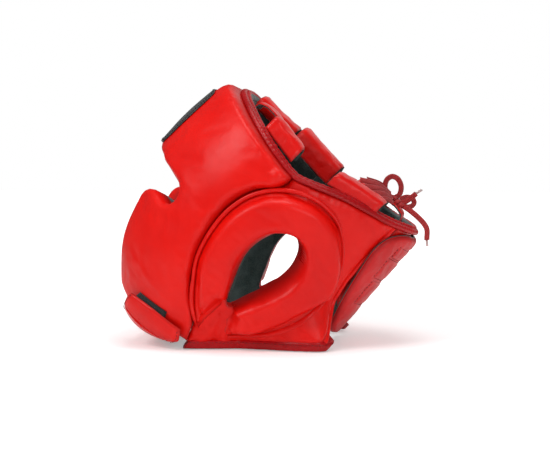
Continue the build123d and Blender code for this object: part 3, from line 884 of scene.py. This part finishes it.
def ear_pipings():
    """Piping sewn round the outside of each ear pad, proud where the face pad meets it."""
    line = unrolled(curve(EAR_RING, 2.0), PANEL) * (FLAT, 1)
    along = unit(np.gradient(line, axis=0))
    away = np.column_stack((along[:, 1], -along[:, 0]))
    away *= np.sign(np.sum(away * (line - line.mean(0)), axis=1))[:, None]
    y = np.interp(np.linspace(0, 1, len(line)), np.linspace(0, 1, len(EAR_RING)), [p[0] for p in EAR_RING])
    front = smooth((46 - y) / 30)
    ends = smooth(np.arange(len(line)) / 5.0) * smooth(np.arange(len(line))[::-1] / 5.0)
    angles = np.linspace(0, 2 * pi, 12, endpoint=False)
    skin = []
    for p, n, f, end in zip(line, away, front, ends):
        r = (1.3 + 0.7 * f) * (0.3 + 0.7 * end)
        spread = (0.9 + 1.0 * f + r * np.sin(angles))[:, None] * n + p
        off = PANEL + 0.7 + 5.6 * f * end + r * np.cos(angles)
        skin.append(FLARED.point(spread[:, 0] / FLAT, spread[:, 1], off))
    for side, mirrored in (("left", False), ("right", True)):
        obj = sweep(side + "_ear_piping", skin, [SOFT_RED], mirrored=mirrored)
        placed(obj, "shell", "red_leather")


# ---- bindings ----------------------------------------------------------------------------
def rim_binding():
    """Double tube round the crown, with a lining lip on its inner side."""
    shape = [(1.2, -1.5), (1.0, 1.4), (3.6, 3.2), (7.4, 4.6), (9.4, 6.6), (11.4, 6.2), (12.2, 4.4),
             (13.2, 5.0), (15.4, 4.4), (16.8, 2.2), (16.2, 0.0), (12.0, -1.4), (6.0, -1.6)]
    profile = np.array(shape)
    turn = np.linspace(0, 180, 260)
    base = rim_z(turn)
    skin = []
    for i, (t, z) in enumerate(zip(turn, base)):
        pucker = 1 + 0.07 * noise.noise(Vector((t / 1.9, 3.1, 0))) + 0.05 * sin(t * 2.4)
        off = 9 + (profile[:, 0] - 9) * (1 + 0.3 * (pucker - 1))
        rise = np.where(profile[:, 1] > 0, profile[:, 1] * pucker, profile[:, 1])
        skin.append(HEAD.point(np.full(len(profile), t), z + rise, off))
    slots = [1, 1, 1] + [0] * (len(profile) - 4) + [1]
    line = HEAD.point(turn, base + 4.7, 12.1)
    for side, mirrored in (("left", False), ("right", True)):
        obj = sweep(side + "_rim_tube", skin, [CRIMSON, SUEDE], slots, mirrored=mirrored)
        smoothed = obj.modifiers.new("round", "SUBSURF")
        smoothed.levels = smoothed.render_levels = 1
        placed(obj, "shell", "binding_leather", side + "_rim_binding")
        rows = [(line, unit(np.tile((0, 0, 1.0), (len(line), 1))))]
        obj = stitches(side + "_rim_stitches", rows, THREAD, mirrored=mirrored)
        placed(obj, "shell", "binding_leather")


def hem_binding():
    """Crinkled band round the neck edge of each side panel."""
    y = np.linspace(34.0, 134.5, 150)
    shape = np.array([(PANEL + 0.6, 9.2), (PANEL + 1.6, 7.2), (PANEL + 1.3, 5.0), (PANEL + 1.7, 2.6),
                      (PANEL + 0.6, 0.6), (9.0, 0.0), (3.0, 0.1), (0.2, 0.9), (-0.4, 3.0), (-0.3, 6.0),
                      (0.4, 9.0), (6.0, 9.0), (11.0, 9.0)])
    skin, line = [], []
    for v in y:
        wobble = [0.45 * noise.noise(Vector((v / 3.2, k * 0.6, 2.0))) for k in range(len(shape))]
        lift = np.clip(shape[:, 1] + np.array(wobble) * (shape[:, 1] > 0.7), 0.0, 12)
        z = hem_z(v, lift)
        t = turn_at(np.full(len(shape), v), z, PANEL)
        skin.append(FLARED.point(t, z, shape[:, 0] + np.array(wobble)))
        line.append(FLARED.point(t[1:2], z[1:2] + 0.6, PANEL + 1.75)[0])
    out = unit(np.array(line) * (1, 0.4, 0))
    for side, mirrored in (("left", False), ("right", True)):
        obj = sweep(side + "_hem_band", skin, [CRIMSON], mirrored=mirrored)
        smoothed = obj.modifiers.new("round", "SUBSURF")
        smoothed.levels = smoothed.render_levels = 1
        placed(obj, "shell", "binding_leather", side + "_hem_binding")
        obj = stitches(side + "_hem_stitches", [(line, out)], THREAD, mirrored=mirrored)
        placed(obj, "shell", "binding_leather")


def rear_rolls():
    """Soft roll along the rear edge of each side panel."""
    edge = unrolled(PANEL_REAR, PANEL)
    foot_y = 128.5
    foot = (float(turn_at(foot_y, hem_z(foot_y, 3.0), PANEL)), float(hem_z(foot_y, 3.0)))
    edge = curve(np.vstack((edge, [foot])) * (FLAT, 1), 2.0) / (FLAT, 1)
    angles = np.linspace(0, 2 * pi, 16, endpoint=False)
    skin = []
    for k, (t, z) in enumerate(edge):
        puff = 1 + 0.10 * noise.noise(Vector((k / 3.0, 0.4, 9.0)))
        off = 7.4 + 6.6 * np.cos(angles) * puff
        turn = t + (0.9 + 3.0 * np.sin(angles) * puff) / 2.1
        skin.append(FLARED.point(turn, np.full(16, z), off))
    for side, mirrored in (("left", False), ("right", True)):
        obj = sweep(side + "_rear_roll", skin, [RED], mirrored=mirrored)
        placed(obj, "shell", "red_leather", side + "_rear_binding")


# ---- nape --------------------------------------------------------------------------------
def nape_bridge():
    """Leather bridge below the rim at the nape, with its lining."""
    start = 153.0
    top = rim_run(start, 360 - start, 80)
    mirrored_top = np.column_stack((np.where(top[:, 0] > 180, 360 - top[:, 0], top[:, 0]), top[:, 1]))
    top[:, 1] = rim_z(mirrored_top[:, 0]) - 0.3
    low = 88.3
    runs = [(top, 9.5, 4), (np.array([top[-1], (360 - start, low)]), 8.0, 5),
            (np.array([(360 - start, low), (start, low)]), 7.5, 6),
            (np.array([(start, low), top[0]]), 8.0, 5)]
    region = Region(runs, step=3.0)
    off = region.base + (12 - region.base) * region.dome()
    flat = HEAD.point(region.turn, region.z, 12)
    off += 0.5 * clouds(flat, 21, 14)
    obj = closed("nape_bridge", region, HEAD.point(region.turn, region.z, off),
                 HEAD.point(region.turn, region.z, LINING + 0.2), SOFT_RED)
    placed(obj, "shell", "red_leather", "rear_bridge")
    inner = HEAD.point(region.turn, region.z, -0.6 * region.dome() + 0.6 * clouds(flat, 22, 10))
    obj = closed("nape_bridge_lining", region, HEAD.point(region.turn, region.z, LINING), inner, SUEDE)
    placed(obj, "shell", "lining", "rear_bridge_lining")


def grid_on(form, turns, heights, off):
    """A grid of points on a grown form, rows along the heights."""
    t, z = np.meshgrid(turns, heights)
    return form.point(t, z, off)


def nape_tongues():
    """Tongues from the side panels that the rear flap closes onto, with their loop patches."""
    turns = [float(180 - degrees(asin(x / 119.0))) for x in (44, 17.5)]
    grid = grid_on(HEAD, np.linspace(turns[0], turns[1], 20), np.linspace(34.5, 81.5, 24), 11.0)
    turns = [float(180 - degrees(asin(x / 119.0))) for x in (33, 19)]
    tape = grid_on(HEAD, np.linspace(turns[0], turns[1], 12), np.linspace(38.5, 77.5, 20), 12.1)
    for side, mirrored in (("left", False), ("right", True)):
        obj = sheet(side + "_tongue", grid, 2.4, SOFT_RED, SUEDE, mirrored=mirrored)
        placed(obj, "shell", "red_leather", side + "_rear_tongue")
        obj = sheet(side + "_tongue_loops", tape, 0.9, LOOP, LOOP, 0.5, mirrored=mirrored)
        placed(obj, "shell", "hook_and_loop", side + "_rear_loop_patch")


def flap_turn(x, z):
    """Turn at the nape where the flap reaches X."""
    half = HEAD.half(z) + FLAP_IN
    return 180 - np.degrees(np.arcsin(np.clip(np.asarray(x) / half, -1, 1)))


def stitched_box(x0, x1, z0, z1):
    """The four sides of a sewn rectangle in (X, Z)."""
    corners = [(x0, z0), (x1, z0), (x1, z1), (x0, z1), (x0, z0)]
    return [np.array(pair) for pair in zip(corners, corners[1:])]


def rear_flap():
    """Rear flap: leather with sewn boxes, dark lining and hook patches."""
    half = curve([(x, z) for x, z in FLAP_EDGE], 1.5)
    half[0, 0] = half[-1, 0] = 0.0
    left = np.column_stack((flap_turn(half[:, 0], half[:, 1]), half[:, 1]))
    right = np.column_stack((360 - left[:, 0], left[:, 1]))
    outline = np.vstack((left, right[::-1]))
    region = Region([(outline, FLAP_IN + 2.2, 6)], step=2.4)
    flat = HEAD.point(region.turn, region.z, FLAP_OUT)
    lines = []
    for x0, x1, z0, z1 in ((-34, 34, 84, 97), (-36, 36, 58, 82), (-32, 32, 26, 55)):
        lines += stitched_box(x0, x1, z0, z1)
    groove = np.zeros(len(flat))
    for a, b in lines:
        d, _, _ = nearest(flat[:, (0, 2)], np.array([a]), np.array([b]))
        groove = np.maximum(groove, np.exp(-(d / 1.5) ** 2))
    off = region.base + (FLAP_OUT - 0.6 - region.base) * region.dome()
    off += -0.7 * groove * smooth(region.depth / 4) + 0.5 * clouds(flat, 31, 13) + 0.4 * region.pinch(32)
    top = HEAD.point(region.turn, region.z, off)
    bottom = HEAD.point(region.turn, region.z, FLAP_IN + LINING)
    obj = closed("nape_flap", region, top, bottom, FLAP_RED)
    puffed(obj, np.maximum(seam_hold(region), np.concatenate((groove, groove))), 1.5, 0.012, 1.2)
    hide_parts("rear_flap_cover", "rear_flap_foam")
    sheet_in = HEAD.point(region.turn, region.z, FLAP_IN + 0.1 + 0.25 * clouds(flat, 33, 9))
    lining_out = HEAD.point(region.turn, region.z, FLAP_IN + LINING)
    lining = closed("nape_flap_lining", region, lining_out, sheet_in, SUEDE)
    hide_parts("rear_flap_lining")
    rows = []
    for a, b in lines:
        path = respaced(np.array([a, b]), 2.0)
        turn = 180 - np.degrees(np.arcsin(path[:, 0] / (HEAD.half(path[:, 1]) + FLAP_OUT)))
        where = HEAD.point(turn, path[:, 1], FLAP_OUT - 1.0)
        rows.append((where, unit(where * (1, 1, 0))))
    sewing = stitches("nape_flap_stitches", rows, THREAD)
    hooks = []
    turns = [float(180 - degrees(asin(x / 122.0))) for x in (33, 19)]
    tape = grid_on(HEAD, np.linspace(turns[0], turns[1], 12), np.linspace(38.5, 77.5, 20), FLAP_IN - 0.3)
    for side, mirrored in (("left", False), ("right", True)):
        hooks.append(sheet(side + "_flap_hooks", tape, 0.9, HOOK, HOOK, 0.5, mirrored=mirrored))
        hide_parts(side + "_hook_patch")
    for piece in (obj, lining, sewing, *hooks):
        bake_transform(piece)


# ---- chin strap --------------------------------------------------------------------------
# Outer face of the strap's left half: front edge, middle and rear edge at each station.
STRAP = [((0, -38, -135), (0, -11, -142.5), (0, 19, -123.5)),
         ((38, -38, -134), (38, -11, -141.5), (40, 19, -123)),
         ((64, -38, -130), (66, -11, -136.5), (70, 19, -121)),
         ((79, -39, -124), (83, -10, -129), (88, 18, -116.5))]
STRAP_END = [((79, -39, -124), (83, -10, -128), (88, 24, -116)),
             ((85.5, -40, -115), (91.4, -8, -114.5), (95.5, 27, -108)),
             ((87.0, -39, -108), (95.0, -10, -103), (98.5, 21, -98))]


def strap_grid(stations, step=2.0, across=15):
    """A grid over stations of three points."""
    edges = [np.array([row[k] for row in stations], float) for k in range(3)]
    count = len(curve(edges[1], step))
    lines = []
    for e in edges:
        dense = curve(e, 0.2)
        lines.append(dense[np.linspace(0, len(dense) - 1, count).astype(int)])
    u = np.linspace(0, 1, across)[None, :, None]
    a, b, c = (line[:, None, :] for line in lines)
    middle = 2 * b - (a + c) / 2
    middle = b * 0.5 + middle * 0.5
    return (1 - u) ** 2 * a + 2 * u * (1 - u) * middle + u * u * c


def strap_stitches(name, grid, inset=2.0):
    """Stitch rows near both long edges of a strap piece."""
    along, across = np.gradient(grid, axis=0), np.gradient(grid, axis=1)
    normal = unit(np.cross(across, along))
    width = np.linalg.norm(grid[0, 1] - grid[0, 0])
    share = inset / width
    rows = []
    for i, j in ((0, 1), (-1, -2)):
        rows.append((grid[:, i] * (1 - share) + grid[:, j] * share, normal[:, i]))
    return stitches(name, rows, THREAD)


def chin_strap():
    """Strap under the chin: sewn root on the right cheek, free hook end on the left cheek."""
    mirrored = [tuple((-x, y, z) for x, y, z in row) for row in STRAP[:0:-1]]
    band = strap_grid(mirrored + STRAP)
    tab = strap_grid(STRAP_END)
    root = tab[::-1] * (-1, 1, 1)
    pieces = {}
    for name, grid in (("chin_band", band), ("chin_tab", tab), ("chin_root", root)):
        grid = grid + 0.35 * np.array([noise.noise(Vector(p) / 16) for p in grid.reshape(-1, 3)]).reshape(
            grid.shape[:2])[..., None] * (0, 0, 1)
        grid[..., 2] = np.maximum(grid[..., 2], hem_z(grid[..., 1], 0.4))
        pieces[name] = grid
    made = {}
    for name, grid in pieces.items():
        made[name] = sheet(name, grid, 3.5, SOFT_RED, SUEDE, 1.4, closed_end=(name != "chin_band"))
        made[name + "_sewing"] = strap_stitches(name + "_stitches", grid)
    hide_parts("chin_strap")
    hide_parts("chin_strap_end")
    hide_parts("chin_strap_root")
    for name in ("chin_root", "chin_root_sewing"):
        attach(made[name], "shell")
    for name in ("chin_band", "chin_band_sewing"):
        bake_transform(made[name])
    for name in ("chin_tab", "chin_tab_sewing"):
        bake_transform(made[name])


def patches():
    """Loop patch on the left cheek and the plain patch on the forehead."""
    t, z = np.meshgrid(np.linspace(-1, 1, 44), np.linspace(9, 83, 46))
    half = 30 + 10 * np.sin(np.clip((z - 9) / 74, 0, 1) * pi) ** 0.6
    turn = np.degrees(np.arcsin(t * half / (FACE.half(z) + 0.5)))
    obj = sheet("forehead_plain_patch", FACE.point(turn, z, 2.2), 2.1, LOOP, LOOP, 0.8)
    placed(obj, "shell", "black_patch", "forehead_patch")
    edges = []
    for k, sign in ((1, 1), (-2, -1)):
        edges.append((FACE.point(turn[k], z[k], 2.25), unit(FACE.point(turn[k], z[k], 0) * (1, 1, 0))))
    for k in (1, -2):
        out = unit(FACE.point(turn[:, k], z[:, k], 0) * (1, 1, 0))
        edges.append((FACE.point(turn[:, k], z[:, k], 2.25), out))
    sewing = stitches("forehead_patch_stitches", edges, BLACK_THREAD)
    placed(sewing, "shell", "black_patch")
    corners = [(-33, -102.5), (0, -95.5), (6, -112), (-36, -121)]
    u, v = np.meshgrid(np.linspace(0, 1, 24), np.linspace(0, 1, 20))
    a, b, c, d = (np.array(p, float) for p in corners)
    yz = (a * (1 - u[..., None]) + b * u[..., None]) * (1 - v[..., None])
    yz = yz + (d * (1 - u[..., None]) + c * u[..., None]) * v[..., None]
    turn = turn_at(yz[..., 0], yz[..., 1], 0.6, FACE)
    grid = FACE.point(turn, yz[..., 1], 1.8)
    obj = sheet("cheek_loop_patch", grid[::-1], 1.7, LOOP, LOOP, 0.7)
    placed(obj, "shell", "hook_and_loop", "chin_loop_patch")


# ---- crown -------------------------------------------------------------------------------
# Crown tabs: root, tip, place across, foot height, top height, half width as a vector.
SIDE_TABS = {
    "left_front_tab": (72, 41, -33, 92, 109, (4, 21, -3)),
    "left_rear_tab": (68, 31, 53, 101, 118, (-6, 26, 4)),
    "right_front_tab": (-54, -17, -65, 94, 110, (-8, 24, -1)),
    "right_middle_tab": (-70, -27, -10, 88, 113, (-10, 27, -3)),
    "right_rear_tab": (-66, -21, 58, 103, 118, (2, 19, 4)),
}
MIDDLE_TABS = {
    "front_tab": (-84, -53, 6, 97, 108, (15, 0, 0)),
    "rear_tab": (101, 70, 0, 109, 123, (17, 0, 0)),
}
KNOT = np.array((4.0, 82.0, 124.0))
BOW_LOOPS = [((3, -10, 9), 11.0, 8.0), ((-12, 10, 7), 9.0, 5.0)]  # middle from the knot, radii
BOW_TAILS = [[(2, 8, 5), (3, 11, 20)], [(4, 20, 4), (4, 40, 3), (4, 50, -6)]]


def arch(root, tip, foot, top):
    """Across and up places of a tab that rises, turns over and tucks down."""
    a = np.linspace(0, pi, 7)
    return (root + tip) / 2 + (root - tip) / 2 * np.cos(a), foot + (top - foot) * np.sin(a) ** 0.55


def tab_lines():
    """Middle line and half width of every crown tab."""
    lines = {}
    for name, (root, tip, y, foot, top, half) in SIDE_TABS.items():
        x, z = arch(root, tip, foot, top)
        lines[name] = (np.column_stack((x, np.full(7, y), z)), half)
    for name, (root, tip, x, foot, top, half) in MIDDLE_TABS.items():
        y, z = arch(root, tip, foot, top)
        lines[name] = (np.column_stack((np.full(7, x), y, z)), half)
    return lines


def lace_lines():
    """Four near and three far passes, each from a side tab's inner edge to the rear tab."""
    lines = []
    for side, count in ((1, 4), (-1, 3)):
        for k in range(count):
            start = np.array((side * (38 - k), 45 + 7.5 * k, 119 - 1.4 * k))
            end = KNOT + (side * (3 + 2.5 * k), -7 + 3 * k, 3 - 1.5 * k)
            crest = (start + end) / 2 + (0, 0, 3.5)
            lines.append([tuple(start), tuple(crest), tuple(end)])
    return lines


def bow_lines():
    """The bow's round loops, then its loose tails."""
    lines = []
    for shift, long, wide in BOW_LOOPS:
        a = np.linspace(0, 2 * pi, 9)
        middle = KNOT + np.array(shift, float)
        towards = unit(np.array(shift, float))
        across = unit(np.cross((1.0, 0.0, 0.0), towards))
        lines.append(middle - long * np.cos(a)[:, None] * towards + wide * np.sin(a)[:, None] * across)
    for tail in BOW_TAILS:
        lines.append(np.vstack((KNOT, KNOT + np.array(tail, float))))
    return lines


def lace_grid(middle, facing, half=2.7):
    """A grid over a flat lace whose flat side looks towards a direction."""
    line = curve(middle, 1.0)
    along = unit(np.gradient(line, axis=0))
    w = unit(np.cross(along, np.array(facing, float))) * half
    return line[:, None, :] + np.linspace(-1, 1, 7)[None, :, None] * w[:, None, :]


def knot_grid(turns=2.2):
    """A short lace coil: the knot of the bow."""
    a = np.linspace(0, 2 * pi * turns, 60)
    line = np.column_stack((3 + 5.0 * np.cos(a), 79 + 2.4 * a / pi, 124.5 + 4.2 * np.sin(a)))
    w = np.array((0.4, 2.3, 0.5))
    return line[:, None, :] + np.linspace(-1, 1, 7)[None, :, None] * w


def ribbon_grid(middle, half_width, across, curl=0.0, seed=0, crinkle=0.0):
    """A grid over a strip given by its middle line and half its width."""
    line = curve(middle, 1.2)
    w = np.array(half_width, float)
    u = np.linspace(-1, 1, across)
    grid = line[:, None, :] + u[None, :, None] * w
    along = unit(np.gradient(line, axis=0))
    normal = unit(np.cross(np.tile(w, (len(line), 1)), along))
    grid = grid + normal[:, None, :] * (curl * (1 - u**2))[None, :, None]
    if crinkle:
        bumps = np.array([noise.noise(Vector(p) / 8 + Vector((seed, 0, 0))) for p in grid.reshape(-1, 3)])
        grid = grid + normal[:, None, :] * (crinkle * bumps.reshape(grid.shape[:2]))[..., None]
    return grid


def crown():
    """Leather tabs, flat lace passes and the bow."""
    for seed, (name, (middle, half_width)) in enumerate(tab_lines().items()):
        grid = ribbon_grid(middle, half_width, 22, 0.8, seed * 3.0, 0.7)
        along, across = grid[1, 10] - grid[0, 10], grid[0, 11] - grid[0, 10]
        middle_point = grid.reshape(-1, 3).mean(0)
        within = middle_point * (0.6, 0.6, 1) - (0, 0, 8)
        if np.dot(np.cross(across, along), grid[len(grid) // 2, 10] - within) < 0:
            grid = grid[:, ::-1]
        obj = sheet(name.replace("_tab", "_crown_tab"), grid, 2.6, SOFT_RED, SUEDE, 1.2)
        placed(obj, "shell", "red_leather", name)
    for k, middle in enumerate(lace_lines()):
        facing = (1, 0.25, 0.75) if middle[0][0] > 0 else (-0.6, 0.2, 1)
        obj = sheet(f"lace_pass_{k + 1}", lace_grid(middle, facing), 1.5, LACE, LACE, 0.7)
        placed(obj, "shell", "lace", "crown_lace")
    for k, middle in enumerate(bow_lines()):
        obj = sheet(f"lace_bow_{k + 1}", lace_grid(middle, (1, 0.3, 0.15)), 1.4, LACE, LACE, 0.7)
        placed(obj, "shell", "lace", "lace_bow")
        if k > 1:
            tip = curve([middle[-1], tuple(1.45 * np.array(middle[-1]) - 0.45 * np.array(middle[-2]))], 1.0)
            cap = sheet(f"lace_tip_{k - 1}", lace_grid(tip, (1, 0.3, 0.15), 1.3), 2.2, TIP, TIP, 1.0)
            placed(cap, "shell", "lace")
    knot = sheet("lace_knot", knot_grid(), 1.5, LACE, LACE, 0.7)
    placed(knot, "shell", "lace")


# ---- stage -------------------------------------------------------------------------------
def stage():
    """Pale floor with a painted glow that grows away from the object, soft studio lights and a camera from
    the wearer's left, a little behind square.
    """
    lo, hi = CAD_BOX
    span = hi - lo
    mesh = bpy.data.meshes.new("floor")
    mesh.from_pydata([(-6, -6, 0), (6, -6, 0), (6, 6, 0), (-6, 6, 0)], [], [(0, 1, 2, 3)])
    g = Graph("floor_with_painted_glow")
    # Painted light: the floor glows for camera rays only, from 0.30 near the object to 0.85 further out, so
    # the far floor reads white and the glow is weaker near the object.
    away = g.add("ShaderNodeVectorMath", {0: g.place}, operation="LENGTH").outputs["Value"]
    lift = g.ranged(away, 0.25, 0.9, 0.30, 0.85)
    lift = g.sum(g.add("ShaderNodeLightPath").outputs["Is Camera Ray"], lift, "MULTIPLY")
    g.out(Base_Color=g.mix(g.noise(3, 2), (0.93, 0.93, 0.93, 1), (0.95, 0.95, 0.95, 1)), Roughness=0.85,
          Specular_IOR_Level=0.1, Emission_Color=(1, 1, 1, 1), Emission_Strength=lift)
    mesh.materials.append(g.material)
    floor = bpy.data.objects.new("floor", mesh)
    bpy.context.scene.collection.objects.link(floor)
    lights = [("key", (0.85, -0.75, 1.15), 0.5, 6.4), ("over", (0.2, 0.1, 1.5), 0.7, 7.0),
              ("side", (1.3, 0.9, 0.7), 0.6, 4.6), ("fill", (-1.1, 0.4, 0.8), 1.0, 2.2)]
    aim = Vector((0, 0, span.z * 0.45))
    for name, place, size, power in lights:
        data = bpy.data.lights.new(name, "AREA")
        data.size, data.energy = size, power
        lamp = bpy.data.objects.new(name, data)
        lamp.location = place
        lamp.rotation_mode = "QUATERNION"
        lamp.rotation_quaternion = (aim - lamp.location).to_track_quat("-Z", "Y")
        bpy.context.scene.collection.objects.link(lamp)
    world = bpy.data.worlds.new("studio")
    world.use_nodes = True
    tree = world.node_tree
    path = tree.nodes.new("ShaderNodeLightPath")
    seen = tree.nodes.new("ShaderNodeMapRange")
    seen.inputs["To Min"].default_value, seen.inputs["To Max"].default_value = 0.42, 0.10
    tree.links.new(path.outputs["Is Glossy Ray"], seen.inputs["Value"])
    strength = tree.nodes.new("ShaderNodeMath")
    strength.operation = "MAXIMUM"
    tree.links.new(path.outputs["Is Camera Ray"], strength.inputs[0])
    tree.links.new(seen.outputs["Result"], strength.inputs[1])
    tree.nodes["Background"].inputs["Color"].default_value = (1, 1, 1, 1)
    tree.links.new(strength.outputs[0], tree.nodes["Background"].inputs["Strength"])
    bpy.context.scene.world = world
    view = bpy.context.scene.view_settings
    view.view_transform = "Standard"
    data = bpy.data.cameras.new("camera")
    data.lens, data.sensor_width = 77.4, 36.0
    camera = bpy.data.objects.new("camera", data)
    azimuth, elevation, distance = radians(100), radians(3), 1.2
    back = Vector((sin(azimuth) * cos(elevation), -cos(azimuth) * cos(elevation), sin(elevation)))
    target = Vector((0, -0.0032, span.z * 0.4443))
    camera.location = target + back * distance
    camera.rotation_mode = "QUATERNION"
    camera.rotation_quaternion = (-back).to_track_quat("-Z", "Y")
    bpy.context.scene.collection.objects.link(camera)
    bpy.context.scene.camera = camera


def main():
    face_pad()
    side_panels()
    ear_pads()
    ear_pipings()
    rim_binding()
    hem_binding()
    rear_rolls()
    nape_bridge()
    nape_tongues()
    rear_flap()
    chin_strap()
    patches()
    crown()
    stage()


main()
